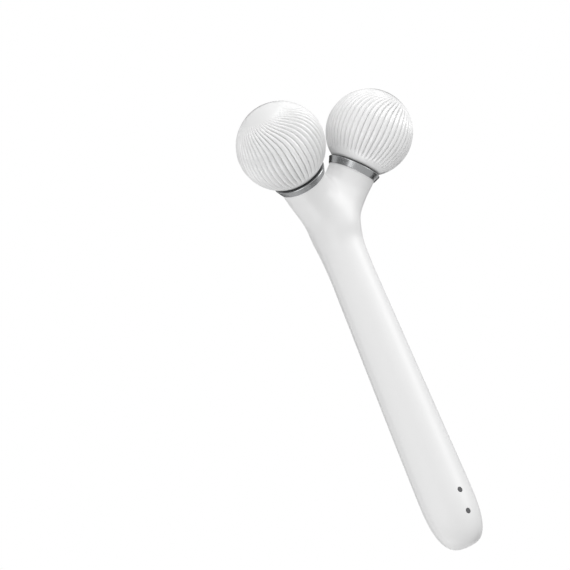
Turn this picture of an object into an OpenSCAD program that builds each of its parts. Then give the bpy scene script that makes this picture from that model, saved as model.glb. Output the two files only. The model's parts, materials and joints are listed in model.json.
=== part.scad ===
// Facial toning device: a Y-shaped handle in two glued shells, with two ribbed
// roller balls on splayed axles, and a rechargeable vibration drive inside.
// It lies with its skin side down, on both balls and the tip of its tail:
// +X runs from the tail to the head, +Y to the left ball, +Z up.

/* [Roller balls] */
// Diameter over the ribs of a ball
ball_d = 30; // [27:0.5:32]
// Distance between the centres of the two balls
ball_spacing = 37.2; // [36:0.2:42]
// Diameter of the flat mouth that faces the collar
mouth_d = 17; // [16.6:0.1:18]
// Number of swirled ribs round a ball
rib_count = 48; // [36:1:60]
// Depth of the grooves between the ribs
rib_depth = 0.45; // [0.2:0.05:0.8]
// How far a rib curls round the ball towards its pole, in degrees
rib_swirl = 45; // [0:5:60]
// Wall of a ball's shell
ball_wall = 2.2; // [1.6:0.1:2.6]

/* [Head] */
// Angle between the two arms
arm_angle = 64; // [60:1:72]
// Angle by which the head bends to the skin side
bend_angle = 34.8; // [20:0.2:40]
// Radius of that bend along the middle of the body
bend_r = 46; // [36:1:50]
// Diameter of an arm where the collar seats
arm_d = 16.4; // [15.8:0.1:17]
// Diameter of an arm at its root
arm_root_d = 13.6; // [12.6:0.1:15]
// Distance from the bend's corner back to where the arms' axes cross
arm_cross_back = 2.4; // [0:0.2:5]
// Sharpness of the blend between the arms and the handle
blend = 3.2; // [2.6:0.1:5]

/* [Collars] */
// Height of a polished collar
collar_h = 2.45; // [1.8:0.05:3.2]
// Diameter of a collar on its ball side
collar_top_d = 18.7; // [18:0.1:20]
// Diameter of a collar on its arm side
collar_base_d = 17.1; // [16.8:0.1:18]
// Open gap between a collar and its ball
ball_gap = 0.5; // [0.4:0.05:0.9]

/* [Handle] */
// Length of the handle from the tip of its tail to the corner of the bend
handle_len = 121; // [112:1:132]
// Width at the widest place, near the tail
tail_w = 20.2; // [19:0.1:23]
// Thickness near the tail
tail_t = 18.4; // [17.6:0.1:21]
// Width at the narrowest place, below the head
neck_w = 16.2; // [15.8:0.1:18]
// Thickness at the narrowest place
neck_t = 16.7; // [16.2:0.1:18]
// Distance of the widest place from the tip of the tail
swell_at = 18; // [16:1:24]
// Distance of the narrowest place from the tip of the tail
neck_at = 99; // [94:1:103]
// Height of the flat band along each side, on the skin side of the seam
band_skin_h = 1.95; // [1.5:0.05:2.4]
// Height of that band on the front side of the seam
band_front_h = 0.6; // [0.4:0.05:1.6]
// Fullness of the crown: 1 is an ellipse, 0 a parabola
crown = 0.2; // [0.1:0.05:0.8]
// Length of the rounded end of the tail
tail_round = 19; // [16:0.5:24]
// Wall of the two shells
wall = 1.6; // [1.4:0.1:1.8]

/* [Drive] */
// Diameter of the round cell
cell_d = 8; // [7:0.1:8.2]
// Length of the round cell
cell_len = 38; // [30:1:40]
// Diameter of the motor's can
motor_d = 7; // [6:0.1:7.2]
// Length of the motor's can
motor_len = 11.5; // [9:0.5:12]
// Radius of the eccentric weight
weight_r = 3; // [2.4:0.1:3.2]
// Thickness of the circuit board
board_t = 1; // [0.8:0.1:1.2]
// Diameter of an axle
axle_d = 4; // [3.6:0.1:4.4]

/* [Button] */
// Diameter of the power button
button_d = 7; // [6:0.1:7.4]
// Distance of the button's centre back from the corner of the bend
button_back = 21; // [20:0.5:23]
// Travel of the button when it is pressed
button_travel = 0.3; // [0.2:0.05:0.4]

/* [Charging] */
// Diameter of a charging contact
contact_d = 1.8; // [1.4:0.1:2.2]
// Distance between the two contacts
contact_pitch = 7.3; // [6.5:0.1:8]
// Distance of the front contact from the tip of the tail
contact_at = 17.2; // [16.6:0.1:18]

/* [Hidden] */
$fn = 64;

// clearances and small features
fit = 0.03;             // radial, pieces pressed or glued together
run = 0.06;             // radial, what turns on an axle
slide = 0.15;           // radial, the button in its hole
lip = 0.03;             // height left at a feathered edge, so that it still has a wall
eps = 0.5;              // overshoot of a cut
board_half = 4.6;       // half width of the circuit board
board_low = 2.5;        // the board's underside above the middle of the body

// roller heads, along an arm from where the arms' axes cross
arm_half = arm_angle / 2;
ball_r = ball_d / 2;
ball_at = ball_spacing / 2 / sin(arm_half);
mouth_at = sqrt(pow(ball_r, 2) - pow(mouth_d / 2, 2));   // from the ball's centre
hub_end = ball_at - mouth_at;
collar_end = hub_end - ball_gap;
arm_end = collar_end - collar_h;

// middle surface of the body: flat handle, bend, flat head
bend_in = bend_r * tan(bend_angle / 2);
bend_from = handle_len - bend_in;
bend_to = bend_from + bend_r * bend_angle * PI / 180;
cross_at = bend_to - bend_in - arm_cross_back;
handle_fade = 15.6;     // how far the handle's own form runs on past the crossing
arm_fade = 9;           // how far the arms' own form runs back past the crossing
straighten = [8.8, 1.3];    // stretch before an arm's end over which it leaves the bend
tail_power = 2.8;
far_out = 24;           // sideways reach that is always outside the body
band_grow = 45;         // the front's band grows over this distance from the tip
band_fade = [handle_len - 16, handle_len - 1];
crown_fade = [handle_len - 20, handle_len + 2];

function clamp(x, a = 0, b = 1) = min(max(x, a), b);
function ease(x, a, b) = let(t = clamp((x - a) / (b - a))) t * t * (3 - 2 * t);
function mix(a, b, t) = a + (b - a) * t;

// round end of the tail: 0 at the tip, 1 past tail_round; inset moves it inwards
function tail_end(s, inset) =
    let(e = clamp(1 - (s - inset) / (tail_round - inset)))
    pow(max(1 - pow(e, tail_power), 1e-9), 1 / tail_power);

function taper(s) = clamp((s - swell_at) / (neck_at - swell_at));
function half_w(s, inset) = (mix(tail_w, neck_w, taper(s)) / 2 - inset) * tail_end(s, inset);
function band(s, face) =
    (face > 0 ? band_front_h * ease(s, 0, band_grow) : band_skin_h)
    * (1 - ease(s, band_fade[0], band_fade[1]));
function half_t(s, inset, face = -1) =
    let(b = band(s, face)) b + (mix(tail_t, neck_t, taper(s)) / 2 - inset - b) * tail_end(s, inset);

// one limb's own field: 1 on its axis, 0 on its outline, negative outside
function handle_field(s, y, inset) =
    1 - pow(y / half_w(s, inset), 2) - pow(max(s - cross_at, 0) / handle_fade, 2);
function arm_field(s, y, inset) =
    let(q = (s - cross_at) * cos(arm_half) + y * sin(arm_half),
        d = y * cos(arm_half) - (s - cross_at) * sin(arm_half),
        r = mix(arm_root_d, arm_d, clamp(q / arm_end)) / 2 - inset)
    1 - pow(d / r, 2) - pow(max(-q, 0) / arm_fade, 2);

// the three limbs blended: 0 on the outline of the whole body
function field(p, inset) =
    let(f = [handle_field(p.x, p.y, inset), arm_field(p.x, p.y, inset), arm_field(p.x, -p.y, inset)],
        m = max(f))
    m + ln(exp(blend * (f[0] - m)) + exp(blend * (f[1] - m)) + exp(blend * (f[2] - m))) / blend;

// height of the surface over the middle surface: face 1 is the front, -1 the skin side
function crown_of(g, a) = (sqrt(max(pow(1 - a, 2) + 4 * a * max(g, 0), 0)) - (1 - a)) / (2 * a);
function height(p, inset, face = -1) =
    let(a = mix(crown, 0.999, ease(p.x, crown_fade[0], crown_fade[1])), b = band(p.x, face))
    max(b + (half_t(p.x, inset, face) - b) * crown_of(field(p, inset), a), lip);

// a point [along, across, above] of the flat layout, carried round the bend; the ends of
// the arms leave the bend early, so that each ends straight and round under its collar
function bent(s, y, h) =
    let(t = clamp((s - bend_from) / bend_r * 180 / PI, 0, bend_angle),
        q = (s - cross_at) * cos(arm_half) + abs(y) * sin(arm_half),
        k = ease(q, arm_end - straighten[0], arm_end - straighten[1]),
        past = mix(max(s - bend_to, 0), s - bend_to, k))
    s < bend_from ? [s, y, h] :
    [bend_from + (bend_r + h) * mix(sin(t), sin(bend_angle), k) + past * cos(bend_angle), y,
     (bend_r + h) * mix(cos(t), cos(bend_angle), k) - bend_r - past * sin(bend_angle)];

// where the field falls to zero from p in direction d, between lo and hi
function edge(p, d, lo, hi, inset, n = 20) =
    n == 0 ? (lo + hi) / 2 :
    let(mid = (lo + hi) / 2)
    field(p + d * mid, inset) > 0 ? edge(p, d, mid, hi, inset, n - 1) : edge(p, d, lo, mid, inset, n - 1);

// stations across the left half of the layout: [inner point, outer point, first angle]
function stations(inset, reach) =
    let(across = [-sin(arm_half), cos(arm_half)],
        along = [cos(arm_half), sin(arm_half)],
        crotch = cross_at + 8 + edge([cross_at + 8, 0], [1, 0], 0, 25, inset),
        fork_from = handle_len - 14,
        fork_q = (crotch - cross_at) * cos(arm_half),
        tail = [for (i = [0:6]) inset + (tail_round - inset) * (1 - pow(cos(4 + 12.5 * i), 2 / tail_power))],
        plain = concat(tail, [for (i = [0:5]) mix(tail_round + 3, fork_from, i / 5)]))
    concat(
        [for (s = plain) [[s, 0], [s, edge([s, 0], [0, 1], 0, far_out, inset)], 0]],
        [for (i = [1:14])
            let(v = i / 14, a = arm_half * v * v, p = [mix(fork_from, crotch, sin(90 * v)), 0],
                d = [-sin(a), cos(a)])
            [p, p + d * edge(p, d, 4 * v, 26, inset), -90 * v * v]],
        [for (i = [1:3])
            let(q = mix(fork_q, reach, i / 3), p = [cross_at, 0] + along * q)
            [p - across * edge(p, -across, 0, q * tan(arm_half), inset),
             p + across * edge(p, across, 0, 20, inset), -90]]);
fork_rows = 27;         // rows whose inner point lies on the middle line

// half of the hollow body in one skin, above (face 1) or below (face -1) the middle
// surface: outside, down to the rim, along it, and back up the inside
module skin(face, cols = 10) {
    rows = [stations(0, arm_end), stations(wall, arm_end)];
    n = len(rows[0]) - 1;
    function spot(r, i, j) =
        let(a = r[i][2], f = (sin(mix(a, 90, j / cols)) - sin(a)) / (1 - sin(a))) mix(r[i][0], r[i][1], f);
    points = [for (layer = [0:3], m = [1, -1], i = [0:n], j = [0:cols])
        let(side = layer < 2 ? 0 : 1, p = spot(rows[side], i, j))
        bent(p.x, m * p.y, layer == 0 || layer == 3 ? face * height(p, side * wall, face) : 0)];
    function at(layer, m, i, j) =
        ((layer * 2 + (m == 1 && j == 0 && i < fork_rows ? 0 : m)) * (n + 1) + i) * (cols + 1) + j;
    function quad(a, b, c, d, flip) = flip ? [[a, c, b], [a, d, c]] : [[a, b, c], [a, c, d]];
    faces = [for (m = [0, 1])
        let(f = (m == 1) != (face == -1))
        each concat(
            [for (i = [0:n - 1], j = [0:cols - 1])
                each quad(at(0, m, i, j), at(0, m, i, j + 1), at(0, m, i + 1, j + 1), at(0, m, i + 1, j), f)],
            [for (i = [0:n - 1], j = [0:cols - 1])
                each quad(at(3, m, i, j), at(3, m, i + 1, j), at(3, m, i + 1, j + 1), at(3, m, i, j + 1), f)],
            [for (k = [0:2], i = [0:n - 1])
                each quad(at(k, m, i + 1, cols), at(k, m, i, cols), at(k + 1, m, i, cols),
                    at(k + 1, m, i + 1, cols), f)],
            [for (k = [0:2], i = [fork_rows - 1:n - 1])
                each quad(at(k, m, i, 0), at(k, m, i + 1, 0), at(k + 1, m, i + 1, 0), at(k + 1, m, i, 0), f)],
            [for (k = [0:2], j = [0:cols - 1])
                each quad(at(k, m, 0, j + 1), at(k, m, 0, j), at(k + 1, m, 0, j), at(k + 1, m, 0, j + 1), f)],
            [for (j = [0:cols - 1])
                each quad(at(0, m, n, j), at(0, m, n, j + 1), at(3, m, n, j + 1), at(3, m, n, j), f)],
            quad(at(0, m, n, cols), at(1, m, n, cols), at(2, m, n, cols), at(3, m, n, cols), f),
            quad(at(3, m, n, 0), at(2, m, n, 0), at(1, m, n, 0), at(0, m, n, 0), f))];
    polyhedron(points, faces, convexity = 6);
}

// the row frame: the part lies on both balls and on its tail
head_reach = ball_at * cos(arm_half) - arm_cross_back;
ball_u = handle_len + head_reach * cos(bend_angle);
ball_w = -head_reach * sin(bend_angle);
tail_line = [for (i = [0:80]) let(s = 0.02 + i * 0.4) [s, half_t(s, 0)]];
function ball_low(t) = ball_u * sin(t) + ball_w * cos(t) - ball_r;
function tail_low(t) = min([for (p = tail_line) p.x * sin(t) - p.y * cos(t)]);
function tilt(lo, hi, n = 24) =
    n == 0 ? (lo + hi) / 2 :
    let(mid = (lo + hi) / 2) ball_low(mid) < tail_low(mid) ? tilt(mid, hi, n - 1) : tilt(lo, mid, n - 1);
rest_tilt = tilt(0, 25);
x_low = min([for (p = tail_line) p.x * cos(rest_tilt) - p.y * sin(rest_tilt)]);
x_high = ball_u * cos(rest_tilt) - ball_w * sin(rest_tilt) + ball_r;

module in_row() {
    translate([-(x_low + x_high) / 2, 0, -tail_low(rest_tilt)]) rotate([0, -rest_tilt, 0]) children();
}
// z along the left (side 1) or right (side -1) arm, from where the arms' axes cross
module on_arm(side) {
    translate([handle_len, 0, 0]) rotate([0, bend_angle, 0]) translate([-arm_cross_back, 0, 0])
        rotate([0, 0, side * arm_half]) rotate([0, 90, 0]) children();
}
module on_balls(side) { in_row() on_arm(side) translate([0, 0, ball_at]) children(); }
// x along the handle: a cylinder that lies along it
module along(s, z, y = 0) { translate([s, y, z]) rotate([0, 90, 0]) children(); }
// a rib across a shell, from the middle of its wall up to z = top
module rib(s, top) {
    half = edge([s, 0], [0, 1], 0, far_out, wall / 2);
    low = [for (i = [-8:8]) let(y = half * sin(i * 11.2)) bent(s, y, -height([s, abs(y)], wall / 2))];
    translate([s - rib_t / 2, 0, 0]) rotate([90, 0, 90]) linear_extrude(rib_t) intersection() {
        polygon(concat([for (p = low) [p.y, p.z]], [[half, 0], [-half, 0]]));
        translate([-half, top - 20]) square([2 * half, 20]);
    }
}

// ---- places along the handle ----
button_at = handle_len - button_back;
cell_to = button_at - 20;
cell_from = cell_to - cell_len;
cell_mid = (cell_from + cell_to) / 2;
cell_z = -1.9;
frame_t = 0.7;          // wall of the frame's trough
rail_z = -3.2;          // underside of the frame's rails, on the shell's ribs
post_gap = 4.2;         // from an end of the cell to the middle of a board post
post_d = 3.4;
screw_d = 1.5;
screw_head_d = 2.8;
frame_from = cell_from - post_gap - post_d;
frame_to = cell_to + post_gap + post_d / 2;
board_from = frame_from - 3;
board_to = button_at + board_half;
motor_from = board_to + 0.5;
motor_z = -1.3;
sleeve_t = 1;           // wall of the rubber sleeve round the motor
shaft_d = 1.5;
weight_gap = 0.7;
weight_len = 3.5;
pin_post_d = 4;         // the shells' locating posts
peg_d = 1.9;
tail_peg_at = 4.9;
fork_peg_at = cross_at + 7;
rib_t = 1.8;

// ---- shells ----
// a cylinder on the middle line, normal to the middle surface
module post(d, s, from, to) {
    translate(bent(s, 0, 0)) rotate([0, clamp((s - bend_from) / bend_r * 180 / PI, 0, bend_angle), 0])
        translate([0, 0, from]) cylinder(d = d, h = to - from);
}
function post_top(s, face) = height([s, 0], 0, face) - 0.67 * wall;
// sockets in the arms' ends for the axle carriers
socket_r = arm_d / 2 - 1.25;
socket_h = 2.2;
module sockets() {
    for (side = [1, -1]) on_arm(side) translate([0, 0, arm_end - socket_h]) cylinder(r = socket_r, h = 4);
}

module front_shell() color("#f2f2f0") in_row() difference() {
    union() {
        skin(1);
        for (s = [tail_peg_at, fork_peg_at]) {
            post(pin_post_d, s, 0, post_top(s, 1));
            post(peg_d, s, -2, 0.5);
        }
    }
    sockets();
    translate([button_at, 0, 0]) {
        cylinder(d = button_d + 2 * slide, h = tail_t);
        // pocket under the skin for the button's flange and its seal
        cylinder(d = button_d + 2.2, h = pocket_top);
    }
}

module back_shell() color("#f0f0ee") in_row() difference() {
    union() {
        skin(-1);
        for (s = [tail_peg_at, fork_peg_at]) post(pin_post_d, s, -post_top(s, -1), 0);
        // two ribs that carry the inner frame on their flat tops
        for (s = [cell_from + 6, cell_to - 6]) difference() {
            rib(s, rail_z);
            along(s - rib_t, cell_z) cylinder(r = cell_d / 2 + frame_t + 0.25, h = 2 * rib_t);
        }
        // saddle ribs under the motor's sleeve
        for (s = [motor_from + 2.4, motor_from + motor_len - 2.4]) difference() {
            rib(s, motor_z);
            along(s - rib_t, motor_z) cylinder(r = motor_d / 2 + sleeve_t + fit, h = 2 * rib_t);
        }
        // pad behind the contacts, flat at its top
        rotate([90, 0, 0]) linear_extrude(6, center = true) polygon(concat(
            [for (i = [0:6]) let(s = pad_from + i / 6 * (contact_pitch + 4.8)) [s, wall / 2 - half_t(s, 0)]],
            [[pad_from + contact_pitch + 4.8, -contact_seat], [pad_from, -contact_seat]]));
    }
    sockets();
    for (p = [0, contact_pitch]) translate([contact_at - p, 0, -tail_t])
        cylinder(d = contact_d + 0.1, h = tail_t);
    for (s = [tail_peg_at, fork_peg_at]) post(peg_d + 2 * fit, s, -2.2, 0.5);
}

// ---- drive ----
module inner_frame() color("#3c4146") in_row() difference() {
    union() {
        // trough round the lower half of the cell
        intersection() {
            along(frame_from, cell_z) cylinder(r = cell_d / 2 + frame_t + 0.1, h = frame_to - frame_from);
            translate([frame_from, -10, -20]) cube([frame_to - frame_from, 20, 20 + cell_z + 0.6]);
        }
        // rails on the shell's ribs
        translate([frame_from, -cell_d / 2 - frame_t - 0.9, rail_z])
            cube([frame_to - frame_from, cell_d + 2 * frame_t + 1.8, cell_z + 0.6 - rail_z]);
        // posts under the board
        for (s = post_at) translate([s, 0, cell_z]) cylinder(d = post_d, h = board_low - cell_z);
    }
    along(cell_from - 0.3, cell_z) cylinder(r = cell_d / 2 + 0.1, h = cell_len + 0.6);
    for (s = post_at) translate([s, 0, board_low - 3.2]) cylinder(d = screw_d + 2 * fit, h = 4);
}
post_at = [cell_from - post_gap, cell_to + post_gap];

module circuit_board() color("#1f5c3a") in_row() difference() {
    translate([board_from, -board_half, board_low]) cube([board_to - board_from, 2 * board_half, board_t]);
    for (s = post_at) translate([s, 0, board_low - eps]) cylinder(d = screw_d + 0.2, h = board_t + 2 * eps);
}
board_top = board_low + board_t;

module board_screws() color("#b9bcc0") in_row() for (s = post_at) translate([s, 0, board_top]) {
    difference() {
        cylinder(d = screw_head_d, h = 0.8);
        translate([-0.9, -0.2, 0.4]) cube([1.8, 0.4, 1]);
        translate([-0.2, -0.9, 0.4]) cube([0.4, 1.8, 1]);
    }
    translate([0, 0, -3.6]) cylinder(d = screw_d, h = 3.6);
}

chip_w = 5;             // side of the largest package
module board_chips() color("#22262a") in_row() translate([cell_mid, 0, board_top]) {
    translate([-0.5, -0.5, 0] * chip_w) cube([chip_w, chip_w, 0.9]);
    translate([1.6, -0.32, 0] * chip_w) cube([0.64 * chip_w, 0.64 * chip_w, 0.8]);
    translate([-2.4, -0.24, 0] * chip_w) cube([0.48 * chip_w, 0.48 * chip_w, 1]);
    for (i = [0:4]) translate([0.6 * i - 1, 0.6, 0] * chip_w) cube([0.2 * chip_w, 0.1 * chip_w, 0.45]);
}

module status_led() color("#fff4c8") in_row()
    translate([button_at - 7.4, -0.8, board_top]) cube([0.8, 1.6, 0.6]);

module cell() color("#2f6fb0") in_row() along(cell_from, cell_z) {
    cylinder(d = cell_d, h = cell_len - 0.8);
    translate([0, 0, cell_len - 0.8]) cylinder(d = cell_d * 0.4, h = 0.8);
}

// nickel strips from the cell's ends up to the board
tab_w = 3;
tab_t = 0.2;
module cell_tabs() color("#c9c9c4") in_row() {
    translate([cell_from - tab_t, -tab_w / 2, cell_z - 2]) cube([tab_t, tab_w, board_low - cell_z + 2]);
    translate([cell_to, -tab_w / 2, cell_z - 1.6]) cube([tab_t, tab_w, board_low - cell_z + 1.6]);
}

// low switch on the board, with its stem under the button
switch_w = 4.2;
switch_h = 0.9;
stem_low = board_top + 0.4 + button_travel + 0.05;
stem_top = board_top + switch_h + button_travel + 0.12;
module tact_switch() color("#8b8f94") in_row() translate([button_at, 0, board_top]) difference() {
    translate([-switch_w / 2, -switch_w / 2, 0]) cube([switch_w, switch_w, switch_h]);
    translate([0, 0, 0.4]) cylinder(d = 2.1, h = switch_h);
}
module switch_stem() color("#2a2d30") in_row() translate([button_at, 0, stem_low])
    cylinder(d = 1.9, h = stem_top - stem_low);

// crowned across like the ridge round it, standing a hair proud, with a flange behind
// the skin and a seal between the flange and the roof of its pocket
button_proud = 0.15;
flange_top = stem_top + 0.5;
seal_t = 0.36;
pocket_top = flange_top + 0.02 + seal_t;
ridge = height([button_at, 0], 0, 1) + button_proud;
ridge_drop = ridge - button_proud - height([button_at, button_d / 2], 0, 1);
ridge_r = (pow(button_d / 2, 2) + pow(ridge_drop, 2)) / (2 * ridge_drop);
module power_button() color("#f4f4f2") in_row() {
    intersection() {
        translate([button_at, 0, stem_top]) cylinder(d = button_d, h = 6);
        along(button_at - button_d, ridge - ridge_r) cylinder(r = ridge_r, h = 2 * button_d);
    }
    translate([button_at, 0, stem_top]) cylinder(d = button_d + 1.3, h = flange_top - stem_top);
}
module button_seal() color("#cfd2d4") in_row() translate([button_at, 0, flange_top + 0.02]) difference() {
    cylinder(d = button_d + 1.8, h = seal_t);
    translate([0, 0, -eps]) cylinder(d = button_d + 2 * slide, h = 2);
}

module motor_can() color("#b4b7ba") in_row() difference() {
    along(motor_from, motor_z) cylinder(d = motor_d, h = motor_len);
    along(motor_from + motor_len - 3, motor_z) cylinder(d = shaft_d + 2 * run, h = 3 + eps);
}
module motor_cradle() color("#4a4d50") in_row() difference() {
    along(motor_from + 1, motor_z) cylinder(r = motor_d / 2 + sleeve_t, h = motor_len - 2);
    along(motor_from, motor_z) cylinder(r = motor_d / 2 + fit, h = motor_len);
}
module motor_shaft() color("#d5d7d9") in_row() along(motor_from + motor_len - 2.8, motor_z)
    cylinder(d = shaft_d, h = 2.8 + weight_gap + weight_len + 0.4);
module eccentric_weight() color("#8e8a80") in_row()
    along(motor_from + motor_len + weight_gap, motor_z) difference() {
        union() {
            cylinder(d = shaft_d + 1.6, h = weight_len);
            intersection() {
                cylinder(r = weight_r, h = weight_len);
                translate([0, -weight_r, -eps]) cube([weight_r, 2 * weight_r, weight_len + 1]);
            }
        }
        translate([0, 0, -eps]) cylinder(d = shaft_d + 2 * fit, h = weight_len + 1);
    }

// ---- charging ----
contact_seat = 6.6;     // flat seat of the contact block, below the middle of the body
block_t = 2.2;
block_w = 5.2;
contact_tail = 1.2;
contact_inset = 0.15;   // how far a contact lies under the skin
pad_from = contact_at - contact_pitch - 2.4;
module contact_block() color("#2b2e31") in_row() difference() {
    translate([contact_at - contact_pitch - block_w / 2 + 0.7, -block_w / 2, -contact_seat])
        cube([contact_pitch + block_w - 1.4, block_w, block_t]);
    for (p = [0, contact_pitch]) translate([contact_at - p, 0, -contact_seat - eps]) {
        cylinder(d = contact_d + 2 * fit, h = 4);
        cylinder(d = contact_d + 1.2, h = 0.8 + eps);
    }
}
module charging_contacts() color("#3a3c3f") in_row() for (p = [0, contact_pitch]) {
    low = contact_inset - height([contact_at - p, 0], 0);
    translate([contact_at - p, 0, low]) cylinder(d = contact_d, h = block_t + contact_tail - contact_seat - low);
}
module contact_seals() color("#c4c7c9") in_row() for (p = [0, contact_pitch])
    translate([contact_at - p, 0, -contact_seat]) difference() {
        cylinder(d = contact_d + 1.1, h = 0.75);
        translate([0, 0, -eps]) cylinder(d = contact_d + 2 * fit, h = 2);
    }

// ---- wires: straight runs with round joints, each along its own route ----
wire_d = 0.6;
lead_out = 2.4;         // of a lead's solder point from the board's middle line
lead_in = 6;            // of the motor's solder points from the board's end
bead_d = 0.9;           // solder beads and joints of the runs
module run_wire(route) {
    for (i = [0:len(route) - 2]) {
        v = route[i + 1] - route[i];
        translate(route[i]) rotate([0, acos(v.z / norm(v)), atan2(v.y, v.x)])
            cylinder(d = wire_d, h = norm(v), $fn = 8);
    }
    for (p = route) translate(p) sphere(d = bead_d, $fn = 8);
}
wire_z = board_low - bead_d / 2 - 0.01;
block_z = block_t - contact_seat + contact_tail + bead_d / 2 + 0.01;
module wires() color("#b03028") in_row() for (side = [1, -1]) {
    // from the motor's back to the board
    run_wire([[motor_from - bead_d / 2 - 0.01, side * 1.4, motor_z], [motor_from - 2, side * 1.8, 0.6],
        [board_to - lead_in, side * lead_out, wire_z]]);
    // from a contact to the board
    run_wire([[contact_at - (side == 1 ? 0 : contact_pitch), 0, block_z],
        [contact_at + 1, side * 2.2, block_z + 1.6], [board_from + 1.5, side * lead_out, wire_z]]);
}

// ---- roller heads ----
spigot_r = 6.2;
carrier_r = 5.2;
carrier_len = 8.6;
nut_d = 7;
nut_h = 2.4;
washer_t = ball_gap - 0.1;
washer_r = 4.2;
bush_d = 7;
bush_len = 5;
hub_r = 6;
hub_top = ball_at + 8.8;
clip_t = 0.6;
axle_from = arm_end - carrier_len - nut_h - 0.3;
axle_to = hub_top + clip_t + 1.2;

module axle_carriers() color("#5a5f64") in_row() for (side = [1, -1]) on_arm(side) difference() {
    union() {
        cylinder_between(carrier_r, arm_end - carrier_len, arm_end);
        cylinder_between(socket_r - fit, arm_end - socket_h + 0.2, arm_end);
        cylinder_between(spigot_r, arm_end - 1, collar_end);
    }
    cylinder_between(axle_d / 2 + fit, 0, ball_at);
}
module cylinder_between(r, from, to) { translate([0, 0, from]) cylinder(r = r, h = to - from); }

module axle_nuts() color("#a8abae") in_row() for (side = [1, -1]) on_arm(side) difference() {
    translate([0, 0, arm_end - carrier_len - nut_h]) cylinder(d = nut_d, h = nut_h, $fn = 6);
    cylinder_between(axle_d / 2 + fit, 0, ball_at);
}

// polished ring: conical outside, with an undercut foot that overhangs the arm
module collar(side) color("#c9cbce") in_row() on_arm(side) translate([0, 0, arm_end]) rotate_extrude() polygon([
    [spigot_r + fit, 0], [arm_d / 2 - 0.1, 0], [collar_base_d / 2 - 0.12, 0.03], [collar_base_d / 2, 0.15],
    [collar_top_d / 2, collar_h - 0.25], [collar_top_d / 2 - 0.15, collar_h - 0.04],
    [collar_top_d / 2 - 0.5, collar_h], [spigot_r + fit, collar_h]]);
module collar_left() collar(1);
module collar_right() collar(-1);

module axle(side) color("#c2c5c8") in_row() on_arm(side) difference() {
    cylinder_between(axle_d / 2, axle_from, axle_to);
    translate([0, 0, hub_top + 0.1]) difference() {
        cylinder(r = axle_d, h = clip_t + 0.04);
        cylinder(r = axle_d / 2 - 0.5, h = clip_t + 0.04);
    }
}
module axle_left() axle(1);
module axle_right() axle(-1);

module thrust_washers() color("#e4e0d0") in_row() for (side = [1, -1]) on_arm(side) difference() {
    cylinder_between(washer_r, collar_end, collar_end + washer_t);
    cylinder_between(axle_d / 2 + run, 0, ball_at);
}
module axle_clips() color("#8f9296") in_row() for (side = [1, -1]) on_arm(side)
    translate([0, 0, hub_top + 0.12]) difference() {
        cylinder(r = axle_d / 2 + 1.2, h = clip_t);
        translate([0, 0, -eps]) cylinder(r = axle_d / 2 - 0.48, h = 2);
        translate([0, -1.1, -eps]) cube([6, 2.2, 2]);
    }

// ribbed skin of a ball: two points a rib; a rib runs up from the mouth almost straight
// and curls on the side of the pole
mouth_turn = 180 - asin(mouth_d / ball_d);
function groove_at(t) = rib_depth * ease(t, 14, 40) * (1 - ease(t, mouth_turn - 20, mouth_turn - 8));
function swirl_at(t, side) = side * rib_swirl * pow(max(cos(t), 0), 4);
module ribbed_ball(side) {
    rings = 14;
    n = 2 * rib_count;
    function turn(i) = 8 + (mouth_turn - 8) * i / rings;
    points = concat(
        [for (i = [0:rings], k = [0:n - 1])
            let(t = turn(i), r = ball_r - (k % 2) * groove_at(t), a = k * 360 / n + swirl_at(t, side))
            [r * sin(t) * cos(a), r * sin(t) * sin(a), r * cos(t)]],
        [[0, 0, ball_r], [0, 0, -mouth_at]]);
    pole = len(points) - 2;
    polyhedron(points, concat(
        [for (i = [0:rings - 1], k = [0:n - 1])
            let(a = i * n + k, b = i * n + (k + 1) % n)
            each [[a, b, a + n], [b, b + n, a + n]]],
        [for (k = [0:n - 1]) [pole, (k + 1) % n, k]],
        [for (k = [0:n - 1]) [pole + 1, rings * n + k, rings * n + (k + 1) % n]]), convexity = 4);
}

// the shell is pressed over the hub last: mouth on the hub's flange, and a socket
// under the pole on the hub's far end
flange_t = 1.9;
flange_r = mouth_d / 2 - 0.8;
grip = 2.6;
module ball_shell(side) color("#f5f5f4") on_balls(side) difference() {
    union() {
        difference() {
            ribbed_ball(side);
            sphere(r = ball_r - ball_wall, $fn = 96);
        }
        cylinder_between(hub_r + 1.4, hub_top - ball_at - grip, ball_r - ball_wall - 1.2);
    }
    cylinder_between(hub_r + fit, hub_top - ball_at - grip - eps, ball_r - ball_wall - 1);
    cylinder_between(flange_r, -ball_r - 1, -ball_r + 6);
}
module ball_shell_left() ball_shell(1);
module ball_shell_right() ball_shell(-1);

module ball_hub(side) color("#d9dbdc") on_balls(side) difference() {
    union() {
        cylinder_between(hub_r, -mouth_at + 0.1, hub_top - ball_at);
        cylinder_between(flange_r - fit, -mouth_at, flange_t - mouth_at);
    }
    cylinder_between(axle_d / 2 + 0.5, -ball_r, ball_r);
    cylinder_between(bush_d / 2 + fit, -ball_r, bush_len - mouth_at);
    cylinder_between(bush_d / 2 + fit, hub_top - ball_at - bush_len, ball_r);
}
module ball_hub_left() ball_hub(1);
module ball_hub_right() ball_hub(-1);

module ball_bushes(side) color("#ece7d6") on_balls(side) difference() {
    union() {
        cylinder_between(bush_d / 2, -mouth_at, bush_len - mouth_at);
        cylinder_between(bush_d / 2, hub_top - ball_at - bush_len, hub_top - ball_at);
    }
    cylinder_between(axle_d / 2 + run, -ball_r, ball_r);
}
module ball_bushes_left() ball_bushes(1);
module ball_bushes_right() ball_bushes(-1);

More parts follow.
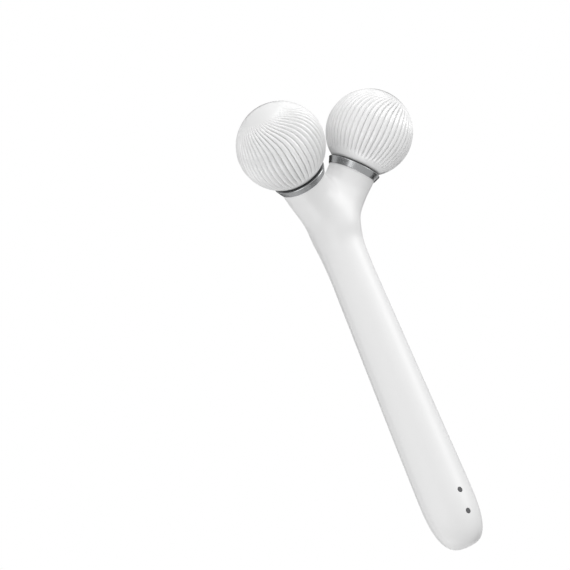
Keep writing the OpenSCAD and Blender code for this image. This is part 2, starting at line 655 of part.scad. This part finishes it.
front_shell();
back_shell();
inner_frame();
circuit_board();
board_screws();
board_chips();
status_led();
cell();
cell_tabs();
tact_switch();
switch_stem();
power_button();
button_seal();
motor_can();
motor_cradle();
motor_shaft();
eccentric_weight();
contact_block();
charging_contacts();
contact_seals();
wires();
axle_carriers();
axle_nuts();
collar_left();
collar_right();
axle_left();
axle_right();
thrust_washers();
axle_clips();
ball_shell_left();
ball_shell_right();
ball_hub_left();
ball_hub_right();
ball_bushes_left();
ball_bushes_right();
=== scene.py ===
import json
from math import radians

import bpy
import numpy as np
from mathutils import Matrix, Vector


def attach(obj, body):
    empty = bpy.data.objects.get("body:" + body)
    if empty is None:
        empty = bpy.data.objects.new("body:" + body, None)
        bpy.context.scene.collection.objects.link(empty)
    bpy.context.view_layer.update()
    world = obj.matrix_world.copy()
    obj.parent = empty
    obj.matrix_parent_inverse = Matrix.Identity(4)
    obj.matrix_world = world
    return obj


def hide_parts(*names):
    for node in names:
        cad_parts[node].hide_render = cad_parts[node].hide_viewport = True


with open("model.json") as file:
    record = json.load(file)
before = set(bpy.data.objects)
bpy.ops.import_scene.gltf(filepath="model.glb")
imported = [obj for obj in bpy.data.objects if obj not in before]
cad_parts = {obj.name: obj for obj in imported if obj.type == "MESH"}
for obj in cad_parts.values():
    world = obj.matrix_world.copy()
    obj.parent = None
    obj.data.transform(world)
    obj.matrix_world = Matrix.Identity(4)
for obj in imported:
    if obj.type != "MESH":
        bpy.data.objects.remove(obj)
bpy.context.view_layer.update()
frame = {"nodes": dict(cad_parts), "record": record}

# ------------------------------------------------------------------ handle shells
# Two satin white plastic halves, moulded 1.6 mm thick and glued along a middle surface that
# bends down at the head. One form runs from the tail through a fork into two round arms,
# with a flat band along each side of the grip.
MM = 0.001
joints = {j["name"]: j for j in frame["record"]["behaviour"]["joints"]}
roll_axis = {side: np.array(joints[f"ball_{side}_roll"]["axis"]) for side in ("left", "right")}
ball_centre = {side: np.array(joints[f"ball_{side}_roll"]["pos_m"]) for side in ("left", "right")}
arms_meet = ball_centre["left"] - roll_axis["left"] * ball_centre["left"][1] / roll_axis["left"][1]
head_dir = roll_axis["left"] + roll_axis["right"]
head_dir /= np.linalg.norm(head_dir)
grip_dir = np.array(joints["motor_spin"]["axis"])
grip_up = np.array([-grip_dir[2], 0, grip_dir[0]])
left_dir = np.array([0.0, 1.0, 0.0])

# sizes in millimetres, and places as distances from the tip of the tail along the grip
grip_len = 121
tail_round, tail_power = 19, 2.8                  # length and fullness of the tail's round end
swell_at, neck_at = 18, 99
half_wide, half_thick = (10.1, 8.1), (9.2, 8.35)  # at the swell and at the neck
skin_band, front_band, band_grow = 1.95, 0.6, 45  # the front's band grows from the tip
band_fade = grip_len - 16, grip_len - 1
crown, round_crown = 0.2, 0.999                   # how round a face is, on the grip and on the head
crown_fade = grip_len - 20, grip_len + 2
bend_r, bend = 46, radians(34.8)
arm_lean, arm_back = radians(32), 2.4
arm_root_r, arm_r, arm_end = 6.8, 8.2, 19.79
arm_fade, grip_fade, blend = 9, 15.6, 3.2         # how far the limbs run into each other
straighten = 8.8, 1.3                             # before its end, where an arm leaves the bend
wall, least_h, least_round = 1.6, 0.03, 0.02      # no height goes under the last two
edge_round, edge_share = 0.35, 0.3                # between face and band, and its most of either
fork_before, grip_after = 14.0, 1.5               # rows start before the bend, after the round end

bend_in = bend_r * np.tan(bend / 2)
bend_from = grip_len - bend_in
bend_to = bend_from + bend_r * bend
cross_at = bend_to - bend_in - arm_back
tail_tip = arms_meet + (head_dir * arm_back - grip_dir * grip_len) * MM


def ease(x, a, b):
    """Goes smoothly from 0 at a to 1 at b."""
    t = np.clip((x - a) / (b - a), 0, 1)
    return t * t * (3 - 2 * t)


def tail_end(s, inset):
    """Round end of the tail: 0 at the tip, 1 past tail_round."""
    left = np.clip(1 - (s - inset) / (tail_round - inset), 0, 1)
    return np.maximum(1 - left**tail_power, 1e-9) ** (1 / tail_power)


def between(pair, s):
    """Runs evenly from the first value at the swell to the second at the neck."""
    return pair[0] + (pair[1] - pair[0]) * np.clip((s - swell_at) / (neck_at - swell_at), 0, 1)


def band(s, face):
    """Height of the flat band along the side, on the front (1) or on the skin side (-1)."""
    high = front_band * ease(s, 0, band_grow) if face > 0 else skin_band
    return high * (1 - ease(s, *band_fade))


def field(s, y, inset):
    """Grip and both arms blended: 0 on the outline of the body, 1 and more on a limb's middle."""
    limbs = [1 - (y / ((between(half_wide, s) - inset) * tail_end(s, inset))) ** 2
             - (np.maximum(s - cross_at, 0) / grip_fade) ** 2]
    for side in (1, -1):
        along = (s - cross_at) * np.cos(arm_lean) + side * y * np.sin(arm_lean)
        off = side * y * np.cos(arm_lean) - (s - cross_at) * np.sin(arm_lean)
        r = arm_root_r + (arm_r - arm_root_r) * np.clip(along / arm_end, 0, 1) - inset
        limbs.append(1 - (off / r) ** 2 - (np.maximum(-along, 0) / arm_fade) ** 2)
    top = np.maximum.reduce(limbs)
    return top + np.log(sum(np.exp(blend * (limb - top)) for limb in limbs)) / blend


def height(s, y, inset, face):
    """Height of the front (1) or the skin side (-1) over the body's middle surface."""
    a = crown + (round_crown - crown) * ease(s, *crown_fade)
    g = np.maximum(field(s, y, inset), 0)
    rise = (np.sqrt((1 - a) ** 2 + 4 * a * g) - (1 - a)) / (2 * a)
    low = band(s, face)
    full = (between(half_thick, s) - inset - low) * tail_end(s, inset)
    return np.maximum(low + full * rise, least_h)


def bent(s, y, h):
    """Flat layout to the row frame: along, across and above the middle surface, round the bend."""
    t = np.clip((s - bend_from) / bend_r, 0, bend)
    q = (s - cross_at) * np.cos(arm_lean) + np.abs(y) * np.sin(arm_lean)
    k = ease(q, arm_end - straighten[0], arm_end - straighten[1])
    past = (1 - k) * np.maximum(s - bend_to, 0) + k * (s - bend_to)
    sin_t = (1 - k) * np.sin(t) + k * np.sin(bend)
    cos_t = (1 - k) * np.cos(t) + k * np.cos(bend)
    grip = s < bend_from
    ahead = np.where(grip, s, bend_from + (bend_r + h) * sin_t + past * np.cos(bend))[..., None]
    over = np.where(grip, h, (bend_r + h) * cos_t - bend_r - past * np.sin(bend))[..., None]
    return tail_tip + (ahead * grip_dir + over * grip_up + y[..., None] * left_dir) * MM


def edge(base, way, reach, inset):
    """Outermost point of the body from base along way, by halving."""
    lo, hi = np.zeros(len(base)), np.full(len(base), float(reach))
    for _ in range(30):
        mid = (lo + hi) / 2
        p = base + way * mid[:, None]
        inside = field(p[:, 0], p[:, 1], inset) > 0
        lo, hi = np.where(inside, mid, lo), np.where(inside, hi, mid)
    return base + way * ((lo + hi) / 2)[:, None]


def rows_of(inset):
    """Rows over the left half of the layout, from the tail through the fork to an arm's end.

    Gives the rows' inner points, outer points and first column angles, and how many rows
    start on the middle line, which the right half shares.
    """
    round_rows, grip_rows, fork_rows, arm_rows = 32, 44, 44, 11
    fork_from = grip_len - fork_before
    past_crotch, past_grip, past_arm, to_gap = 25, 24, 20, 12     # how far an edge is looked for
    crotch = edge(np.array([[cross_at + 8.0, 0.0]]), np.array([[1.0, 0.0]]), past_crotch, inset)[0, 0]
    turn = np.radians(np.linspace(0.5, 86, round_rows))
    round_part = inset + (tail_round - inset) * (1 - np.cos(turn) ** (2 / tail_power))
    grip = np.concatenate([round_part, np.linspace(tail_round + grip_after, fork_from, grip_rows)])
    grip_in = np.stack([grip, np.zeros(len(grip))], 1)
    grip_out = edge(grip_in, np.tile([0.0, 1.0], (len(grip), 1)), past_grip, inset)
    v = np.linspace(0, 1, fork_rows + 1)[1:]
    fork_in = np.stack([fork_from + (crotch - fork_from) * np.sin(v * np.pi / 2), 0 * v], 1)
    ways = np.stack([-np.sin(arm_lean * v**2), np.cos(arm_lean * v**2)], 1)
    fork_out = edge(fork_in + ways * 4 * v[:, None], ways, past_grip, inset)
    q = np.linspace((crotch - cross_at) * np.cos(arm_lean), arm_end, arm_rows + 1)[1:]
    on_axis = np.array([cross_at, 0]) + q[:, None] * np.array([np.cos(arm_lean), np.sin(arm_lean)])
    across = np.tile([-np.sin(arm_lean), np.cos(arm_lean)], (arm_rows, 1))
    inner = np.concatenate([grip_in, fork_in, edge(on_axis, -across, to_gap, inset)])
    outer = np.concatenate([grip_out, fork_out, edge(on_axis, across, past_arm, inset)])
    first = np.concatenate([np.zeros(len(grip)), -np.pi / 2 * v**2, np.full(arm_rows, -np.pi / 2)])
    return inner, outer, first, len(grip) + fork_rows


def sheets_of(face, crown_cols, round_cols):
    """Outside and inside of one shell's left half, as places in the layout and heights."""
    sheets = []
    for inset, count in ((0.0, crown_cols), (wall, crown_cols + round_cols)):
        inner, outer, first, shared = rows_of(inset)
        low = band(outer[:, 0], face)
        width = np.linalg.norm(inner - outer, axis=1)
        inward = (inner - outer) / width[:, None]
        cut = np.clip(edge_share * low, least_h, np.minimum(edge_round, edge_share * width))
        cut = cut * (inset == 0)
        angle = first[:, None] + (np.pi / 2 - first[:, None]) * np.linspace(0, 1, count + 1)
        f = (np.sin(angle) - np.sin(first)[:, None]) / (1 - np.sin(first)[:, None])
        flat = inner[:, None] - inward[:, None] * ((width - cut)[:, None] * f)[..., None]
        h = height(flat[..., 0], flat[..., 1], inset, face)
        if inset == 0:
            # the edge between face and band is rounded with a short curve
            t = np.linspace(0, 1, round_cols + 1)[1:]
            bow = (1 - t) ** 2
            curve = outer[:, None] + inward[:, None] * (cut[:, None] * bow)[..., None]
            top = h[:, -1:] * bow + (2 * t * (1 - t)) * low[:, None] + t**2 * (low - cut)[:, None]
            flat = np.concatenate([flat, curve], 1)
            h = np.concatenate([h, np.maximum(top, least_round)], 1)
        sheets.append((flat, h))
    return sheets, shared


def skin(face):
    """Vertices and faces of one shell, above (1) or below (-1) the middle surface."""
    sheets, shared = sheets_of(face, crown_cols=36, round_cols=4)
    points, index = [], np.zeros((4, 2, *sheets[0][1].shape), int)
    total = 0
    for layer, (sheet, rise) in enumerate([(0, 1), (0, 0), (1, 0), (1, 1)]):
        flat, h = sheets[sheet]
        for m, side in enumerate((1, -1)):
            points.append(bent(flat[..., 0], side * flat[..., 1], face * rise * h).reshape(-1, 3))
            index[layer, m] = total + np.arange(h.size).reshape(h.shape)
            total += h.size
        index[layer, 1, :shared, 0] = index[layer, 0, :shared, 0]
    faces = []

    def strip(a, b, c, d, flip):
        quads = np.stack([a, b, c, d], -1).reshape(-1, 4)
        faces.append(quads[:, ::-1] if flip else quads)

    for m in (0, 1):
        flip = (m == 1) == (face == 1)
        out, low, rim, top = index[:, m]
        strip(out[:-1, :-1], out[1:, :-1], out[1:, 1:], out[:-1, 1:], flip)
        strip(top[:-1, :-1], top[:-1, 1:], top[1:, 1:], top[1:, :-1], flip)
        for a, b in ((out, low), (low, rim), (rim, top)):
            strip(a[1:, -1], b[1:, -1], b[:-1, -1], a[:-1, -1], flip)
            strip(a[shared - 1:-1, 0], b[shared - 1:-1, 0], b[shared:, 0], a[shared:, 0], flip)
            strip(a[0, 1:], b[0, 1:], b[0, :-1], a[0, :-1], flip)
        strip(out[-1, :-1], top[-1, :-1], top[-1, 1:], out[-1, 1:], flip)
        ends = np.array([[top[-1, -1], rim[-1, -1], low[-1, -1], out[-1, -1]],
                         [out[-1, 0], low[-1, 0], rim[-1, 0], top[-1, 0]]])
        faces.append(ends[:, ::-1] if flip else ends)
    points, faces = np.concatenate(points), np.concatenate(faces)
    used, back = np.unique(faces, return_inverse=True)
    return points[used], back.reshape(faces.shape)


def solid(name, points, faces, sharp=35):
    """A smooth-shaded piece from points and faces, with edges over sharp degrees kept."""
    mesh = bpy.data.meshes.new(name)
    mesh.from_pydata([tuple(p) for p in points], [], [list(map(int, f)) for f in faces])
    mesh.polygons.foreach_set("use_smooth", [True] * len(mesh.polygons))
    mesh.set_sharp_from_angle(angle=radians(sharp))
    piece = bpy.data.objects.new(name, mesh)
    bpy.context.collection.objects.link(piece)
    return piece


def lathe(name, profile, origin, axis, segments=128, sharp=30):
    """A turned piece: profile of (radius, height) in millimetres, closed round the axis."""
    axis = np.array(axis) / np.linalg.norm(axis)
    side = np.cross(axis, [0.3, 0.2, 0.9])
    side /= np.linalg.norm(side)
    other = np.cross(axis, side)
    turn = np.linspace(0, 2 * np.pi, segments, endpoint=False)
    ring = np.cos(turn)[:, None] * side + np.sin(turn)[:, None] * other
    points = [origin + (ring * r + axis * h) * MM for r, h in profile]
    n, k = len(profile), np.arange(segments)
    faces = [np.stack([i * segments + k, i * segments + (k + 1) % segments,
                       (i + 1) % n * segments + (k + 1) % segments, (i + 1) % n * segments + k], 1)
             for i in range(n)]
    return solid(name, np.concatenate(points), np.concatenate(faces), sharp)


def cut_away(piece, cutters):
    """Cuts the cutters out of piece for good, and drops them."""
    for cutter in cutters:
        tool = piece.modifiers.new("cut", "BOOLEAN")
        tool.operation, tool.solver, tool.object = "DIFFERENCE", "EXACT", cutter
    done = bpy.data.meshes.new_from_object(piece.evaluated_get(bpy.context.evaluated_depsgraph_get()))
    piece.modifiers.clear()
    piece.data = done
    done.set_sharp_from_angle(angle=radians(35))
    for cutter in cutters:
        bpy.data.objects.remove(cutter)


def plug(name, at, way, r, length=12):
    """A round bar that cuts a hole."""
    return lathe(name, [(0.001, 0), (r, 0), (r, length), (0.001, length)], at, way, segments=64)


def grain(name, colour, rough, metal=0.0, speckle=0.03, bump=0.02, scale=1800, coat=0.0,
          sheen_rough=0.1):
    """A moulded or worked surface: colour and roughness drift a little, over a fine grain."""
    mat = bpy.data.materials.new(name)
    mat.use_nodes = True
    nodes, links = mat.node_tree.nodes, mat.node_tree.links
    shader = nodes["Principled BSDF"]
    shader.inputs["Metallic"].default_value = metal
    shader.inputs["Coat Weight"].default_value = coat
    shader.inputs["Coat Roughness"].default_value = sheen_rough
    place = nodes.new("ShaderNodeTexCoord")
    cloud = nodes.new("ShaderNodeTexNoise")
    cloud.inputs["Scale"].default_value = scale / 12
    cloud.inputs["Detail"].default_value = 4
    links.new(place.outputs["Object"], cloud.inputs["Vector"])
    shade = nodes.new("ShaderNodeMixRGB")
    shade.inputs["Color1"].default_value = (*[c * (1 - speckle) for c in colour], 1)
    shade.inputs["Color2"].default_value = (*[min(c * (1 + speckle), 1) for c in colour], 1)
    links.new(cloud.outputs["Fac"], shade.inputs["Fac"])
    links.new(shade.outputs["Color"], shader.inputs["Base Color"])
    spread = nodes.new("ShaderNodeMapRange")
    spread.inputs["To Min"].default_value = rough * 0.85
    spread.inputs["To Max"].default_value = min(rough * 1.15, 1)
    links.new(cloud.outputs["Fac"], spread.inputs["Value"])
    links.new(spread.outputs["Result"], shader.inputs["Roughness"])
    fine = nodes.new("ShaderNodeTexNoise")
    fine.inputs["Scale"].default_value = scale
    fine.inputs["Detail"].default_value = 3
    links.new(place.outputs["Object"], fine.inputs["Vector"])
    relief = nodes.new("ShaderNodeBump")
    relief.inputs["Strength"].default_value = bump
    relief.inputs["Distance"].default_value = 0.0001
    links.new(fine.outputs["Fac"], relief.inputs["Height"])
    links.new(relief.outputs["Normal"], shader.inputs["Normal"])
    return mat


satin_white = grain("satin_white_shell", (0.86, 0.86, 0.86), 0.42, speckle=0.006, bump=0.05,
                    scale=2600)

front = solid("front_shell_skin", *skin(1))
button_at, button_hole_r = 100, 3.65
cut_away(front, [plug("button_hole", tail_tip + grip_dir * button_at * MM, grip_up, button_hole_r)])
back = solid("back_shell_skin", *skin(-1))
contact_at, contact_pitch, contact_hole_r = 17.2, 7.3, 0.95
contact_spots = [tail_tip + grip_dir * (contact_at - step) * MM for step in (0, contact_pitch)]
cut_away(back, [plug("contact_hole", spot, -grip_up, contact_hole_r) for spot in contact_spots])
for piece, name, slot in ((front, "front_shell", "shell_front"), (back, "back_shell", "shell_back")):
    piece.data.materials.clear()
    piece.data.materials.append(satin_white)
    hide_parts(name)
    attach(piece, "handle")

# ------------------------------------------------------------------ roller balls
# Hollow white balls with fine swirled ribs that fade out at the far pole and beside the
# mouth, moulded in one skin and pressed over the hubs. Each turns on its own axle.
ball_r, ball_wall, mouth_r, mouth_lip = 15.0, 2.2, 8.5, 0.8
rib_count, rib_deep, rib_round = 48, 0.95, 0.45
rib_curl, curl_power = radians(45), 4   # towards the far pole
rib_grow, rib_end = (20, 52), (8, 20)   # fades, in degrees from the far pole and from the mouth
mouth_turn = np.pi - np.arcsin(mouth_r / ball_r)
mouth_at = ball_r * np.cos(mouth_turn)
rib_steps, ring_steps, hollow_steps = 16, 84, 16

ball_white = grain("white_ribbed_ball", (0.88, 0.88, 0.88), 0.30, speckle=0.006, bump=0.03,
                   scale=2600, coat=0.6, sheen_rough=0.12)


def ball_skin(name, side, hand):
    """Ribbed outside, rounded mouth and smooth hollow inside of one ball."""
    axis = roll_axis[side]
    out = np.cross([0, 0, 1], axis)
    out /= np.linalg.norm(out)
    third = np.cross(axis, out)
    turn = np.linspace(0, 2 * np.pi, rib_count * rib_steps, endpoint=False)
    tilt = np.linspace(radians(1.5), mouth_turn - radians(1), ring_steps)
    from_pole, to_mouth = np.degrees(tilt), np.degrees(mouth_turn - tilt)
    fade = ease(from_pole, *rib_grow) * ease(to_mouth, *rib_end)
    groove = 1 - np.abs(np.cos(turn * rib_count / 2)) ** rib_round
    r = ball_r - rib_deep * fade[:, None] * groove[None]
    curl = rib_curl * np.maximum(np.cos(tilt), 0) ** curl_power
    about = turn[None] + hand * curl[:, None]
    rings = [(r * np.sin(tilt)[:, None], r * np.cos(tilt)[:, None], about)]
    flat = np.full((1, len(turn)), 1.0)
    last = about[-1:]
    hollow_r = ball_r - ball_wall
    opening = mouth_r - mouth_lip
    lip = [(mouth_r - 0.06, mouth_at + 0.02), (mouth_r - 0.25, mouth_at), (opening, mouth_at),
           (opening, -np.sqrt(hollow_r**2 - opening**2))]
    rings += [(flat * a, flat * b, last) for a, b in lip]
    for turned in np.linspace(np.pi - np.arcsin(opening / hollow_r), 0.03, hollow_steps)[1:]:
        rings.append((flat * hollow_r * np.sin(turned), flat * hollow_r * np.cos(turned), last))
    wide, high, about = (np.concatenate(part)[..., None] for part in zip(*rings))
    points = ball_centre[side] + MM * (wide * (np.cos(about) * out + np.sin(about) * third) + high * axis)
    n, m = wide.shape[:2]
    grid = np.arange(n * m).reshape(n, m)
    a, b = grid[:-1], grid[1:]
    faces = np.stack([a, b, np.roll(b, -1, 1), np.roll(a, -1, 1)], -1).reshape(-1, 4)
    faces = [list(f) for f in faces] + [list(grid[0]), list(grid[-1][::-1])]
    return solid(name, points.reshape(-1, 3), faces, sharp=60)


for side, hand in (("left", 1), ("right", -1)):
    ball = ball_skin(f"ball_skin_{side}", side, hand)
    ball.data.materials.append(ball_white)
    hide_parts(f"ball_shell_{side}")
    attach(ball, f"ball_{side}")

# ------------------------------------------------------------------ polished collars
# Turned steel rings, a little conical, that stand over the ends of the arms. They are
# polished round and round, which leaves five fine turned lines.
collar_h, collar_foot_r, collar_top_r, spigot_r = 2.45, 8.55, 9.35, 6.23
foot_round, top_round = 0.14, 0.28
turned_lines, turned_deep, line_steps = 5, 0.025, 8
lines_from, lines_to = 0.3, collar_h - 0.45

bow = np.radians([0, 30, 60, 90])
foot_in, top_in = collar_foot_r - foot_round, collar_top_r - top_round
profile = [(spigot_r, 0), (collar_foot_r - 0.3, 0)]
profile += [(foot_in + foot_round * np.sin(t), foot_round * (1 - np.cos(t))) for t in bow]
for h in np.linspace(lines_from, lines_to, turned_lines * line_steps + 1):
    cone = collar_foot_r + (collar_top_r - collar_foot_r) * h / (collar_h - 0.3)
    wave = np.sin(np.pi * turned_lines * (h - lines_from) / (lines_to - lines_from)) ** 2
    profile.append((cone - turned_deep * wave, h))
profile += [(top_in + top_round * np.cos(t), collar_h - top_round * (1 - np.sin(t))) for t in bow]
profile += [(spigot_r, collar_h)]

polished = grain("polished_collar", (0.30, 0.305, 0.31), 0.24, metal=1.0, speckle=0.05, bump=0.015,
                 scale=900)
for side in ("left", "right"):
    foot = arms_meet + roll_axis[side] * arm_end * MM
    collar = lathe(f"collar_ring_{side}", profile, foot, roll_axis[side], segments=160)
    collar.data.materials.append(polished)
    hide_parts(f"collar_{side}")
    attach(collar, "handle")

# ------------------------------------------------------------------ button and contacts
# The button's cap is the same white as the shell, over a silicone seal. The two charging
# contacts are dark plated metal, each with a silicone seal, in a black block that holds
# them just under the skin of the back, near the tail.
nodes = frame["nodes"]


def dress(name, mat, bevel=0.0):
    """Gives a carried-over node its material, and eases its sharp edges."""
    piece = nodes[name]
    piece.data.materials.clear()
    piece.data.materials.append(mat)
    if bevel:
        eased = piece.modifiers.new("eased_edges", "BEVEL")
        eased.width, eased.segments = bevel * MM, 3
        eased.limit_method, eased.angle_limit = "ANGLE", radians(40)


dress("power_button", satin_white, 0.2)
dark_plated = grain("dark_plated_contact", (0.035, 0.035, 0.037), 0.35, metal=0.6, speckle=0.1)
dress("charging_contacts", dark_plated, 0.12)
silicone = grain("clear_silicone", (0.72, 0.74, 0.75), 0.45, speckle=0.02)
dress("button_seal", silicone)
dress("contact_seals", silicone)
dress("contact_block", grain("black_moulded_block", (0.02, 0.021, 0.023), 0.45, speckle=0.2))

# ------------------------------------------------------------------ drive inside the grip
# A frame clipped over two ribs holds the round cell, and carries the board on two posts.
# The motor sits in a rubber sleeve behind the head and swings a half-round weight.
dress("inner_frame", grain("dark_grey_frame", (0.045, 0.05, 0.055), 0.5, speckle=0.12))
dress("circuit_board", grain("green_laminate", (0.012, 0.10, 0.045), 0.35, speckle=0.25, scale=700))
dress("board_screws", grain("zinc_screw", (0.55, 0.56, 0.58), 0.3, metal=1.0))
dress("board_chips", grain("black_chip", (0.012, 0.013, 0.014), 0.4, speckle=0.2))
dress("status_led", grain("amber_lens", (0.95, 0.75, 0.35), 0.15))
dress("cell", grain("blue_cell_sleeve", (0.02, 0.12, 0.36), 0.25, speckle=0.08))
dress("cell_tabs", grain("nickel_strip", (0.62, 0.61, 0.57), 0.3, metal=1.0))
dress("tact_switch", grain("switch_can", (0.42, 0.43, 0.45), 0.35, metal=1.0))
dress("switch_stem", grain("black_stem", (0.015, 0.016, 0.018), 0.45, speckle=0.2))
dress("motor_can", grain("drawn_motor_can", (0.56, 0.57, 0.59), 0.28, metal=1.0))
dress("motor_cradle", grain("black_rubber_sleeve", (0.02, 0.02, 0.022), 0.8, speckle=0.2, bump=0.1))
dress("motor_shaft", grain("ground_shaft", (0.6, 0.61, 0.62), 0.2, metal=1.0))
dress("eccentric_weight", grain("heavy_weight", (0.32, 0.28, 0.22), 0.45, metal=1.0, speckle=0.12))
dress("wires", grain("red_wire", (0.4, 0.02, 0.015), 0.4, speckle=0.1))

# ------------------------------------------------------------------ axles and hubs
# Ground steel axles are nutted into carriers that plug the ends of the arms. Each ball's
# hub runs on two bushes over a washer, and a spring clip holds it at the far end.
axle_steel = grain("ground_axle", (0.6, 0.61, 0.62), 0.2, metal=1.0)
hub_grey = grain("light_grey_hub", (0.62, 0.63, 0.64), 0.45, speckle=0.04)
bush_cream = grain("cream_bush", (0.78, 0.73, 0.6), 0.4, speckle=0.04)
for side in ("left", "right"):
    dress(f"axle_{side}", axle_steel)
    dress(f"ball_hub_{side}", hub_grey)
    dress(f"ball_bushes_{side}", bush_cream)
dress("axle_carriers", grain("grey_carrier", (0.09, 0.1, 0.11), 0.5, speckle=0.12))
dress("axle_nuts", grain("zinc_nut", (0.55, 0.56, 0.58), 0.3, metal=1.0))
dress("thrust_washers", grain("cream_washer", (0.75, 0.71, 0.6), 0.4, speckle=0.04))
dress("axle_clips", grain("spring_clip", (0.22, 0.22, 0.23), 0.35, metal=1.0))

# ------------------------------------------------------------------ floor and background
# The object lies on a plain pale floor. The photograph looks at its under side, so the
# camera stands low, and the floor shows only to eyes above it and blocks no light.


def sheet(name, size):
    """A flat square that blocks no light, and that only the camera sees."""
    h = size / 2
    mesh = bpy.data.meshes.new(name)
    mesh.from_pydata([(-h, -h, 0), (h, -h, 0), (h, h, 0), (-h, h, 0)], [], [(0, 1, 2, 3)])
    square = bpy.data.objects.new(name, mesh)
    bpy.context.collection.objects.link(square)
    square.visible_diffuse = square.visible_glossy = False
    square.visible_shadow = square.visible_transmission = False
    return square


floor = sheet("floor", 6.0)
paper = bpy.data.materials.new("pale_floor")
paper.use_nodes = True
tree = paper.node_tree
matt = tree.nodes["Principled BSDF"]
matt.inputs["Base Color"].default_value = (0.8, 0.8, 0.8, 1)
matt.inputs["Roughness"].default_value = 0.9
clear = tree.nodes.new("ShaderNodeBsdfTransparent")
sides = tree.nodes.new("ShaderNodeNewGeometry")
choose = tree.nodes.new("ShaderNodeMixShader")
tree.links.new(sides.outputs["Backfacing"], choose.inputs["Fac"])
tree.links.new(matt.outputs["BSDF"], choose.inputs[1])
tree.links.new(clear.outputs["BSDF"], choose.inputs[2])
tree.links.new(choose.outputs["Shader"], tree.nodes["Material Output"].inputs["Surface"])
floor.data.materials.append(paper)

world = bpy.data.worlds.new("studio")
bpy.context.scene.world = world
world.use_nodes = True
tree = world.node_tree
ambient = tree.nodes["Background"]
ambient.inputs["Color"].default_value = (1, 1, 1, 1)
ambient.inputs["Strength"].default_value = 0.38
plain = tree.nodes.new("ShaderNodeBackground")
plain.inputs["Color"].default_value = (1, 1, 1, 1)
plain.inputs["Strength"].default_value = 1.0
path = tree.nodes.new("ShaderNodeLightPath")
seen = path.outputs["Is Camera Ray"]
for ray in ("Is Glossy Ray", "Is Transmission Ray"):
    either = tree.nodes.new("ShaderNodeMath")
    either.operation = "MAXIMUM"
    tree.links.new(seen, either.inputs[0])
    tree.links.new(path.outputs[ray], either.inputs[1])
    seen = either.outputs[0]
pick = tree.nodes.new("ShaderNodeMixShader")
tree.links.new(seen, pick.inputs["Fac"])
tree.links.new(ambient.outputs["Background"], pick.inputs[1])
tree.links.new(plain.outputs["Background"], pick.inputs[2])
tree.links.new(pick.outputs["Shader"], tree.nodes["World Output"].inputs["Surface"])

# ------------------------------------------------------------------ camera
# The camera stands where the photograph's did. Its picture's three directions (to the right,
# to the top, towards the eye) are rows of shares along the head, towards the right arm and
# out of the skin side.
under_dir = np.cross(left_dir, head_dir)
picture = [(-0.039, -0.814, 0.580), (0.972, -0.164, -0.165), (0.230, 0.557, 0.798)]
across, up, near = (a * head_dir - b * left_dir + c * under_dir for a, b, c in picture)
picture_px, focal_px, px_per_mm = 570, 2000, 2.930
meet_px = (44.2, 60.3)          # where the arms' axes meet, right of and above the picture's middle
sensor = 36
eye = arms_meet + (near * focal_px - across * meet_px[0] - up * meet_px[1]) / px_per_mm * MM
turned = np.linalg.svd(np.stack([across, up, near], 1))
turned = turned[0] @ turned[2]
lens = bpy.data.cameras.new("camera")
lens.sensor_width = sensor
lens.lens = sensor * focal_px / picture_px
lens.clip_start, lens.clip_end = 0.01, 20
camera = bpy.data.objects.new("camera", lens)
bpy.context.collection.objects.link(camera)
place = Matrix(turned.tolist()).to_4x4()
place.translation = eye
camera.matrix_world = place
bpy.context.scene.camera = camera

# ------------------------------------------------------------------ lamps and cards
# Soft square lamps round the object, as in a product studio, and black cards that are seen
# only in reflections. They give the steel its dark stripes and the white plastic its thin rim.
grip_middle, head_middle = (0.02, 0, 0.02), (0.06, 0, 0.02)
lamp_distance = 1.0


def face_to(piece, middle, way, distance):
    """Puts a lamp or card at a distance from the middle along way, facing it."""
    way = Vector(way).normalized()
    piece.location = Vector(middle) + way * distance
    piece.rotation_mode = "QUATERNION"
    piece.rotation_quaternion = way.to_track_quat("Z", "Y")


def lamp(name, way, power, size=0.6):
    light = bpy.data.lights.new(name, "AREA")
    light.size, light.energy = size, power
    box = bpy.data.objects.new(name, light)
    bpy.context.collection.objects.link(box)
    face_to(box, grip_middle, way, lamp_distance)


lamp("head_side", up + near * 0.42, 3.6)
lamp("right_side", across + up * 0.75 + near * 0.15, 4.3)
lamp("left_side", near - across * 0.55, 2.65)
lamp("tail_side", near * 0.4 - up * 0.9 - across * 0.3, 2.8)
lamp("overhead", (0.3, 0.5, 1), 5.0, 0.8)

black_card = grain("black_card", (0.01, 0.01, 0.01), 0.9)
for name, way, distance, size in (("card_over", (0.25, 0.05, 1), 0.5, 0.42),
                                  ("card_far", -near, 0.6, 0.75),
                                  ("card_behind", (-0.7, 0.65, 0.05), 0.5, 0.26)):
    card = sheet(name, size)
    card.data.materials.append(black_card)
    card.visible_camera, card.visible_glossy = False, True
    face_to(card, head_middle, way, distance)

view = bpy.context.scene.view_settings
view.view_transform = "Standard"
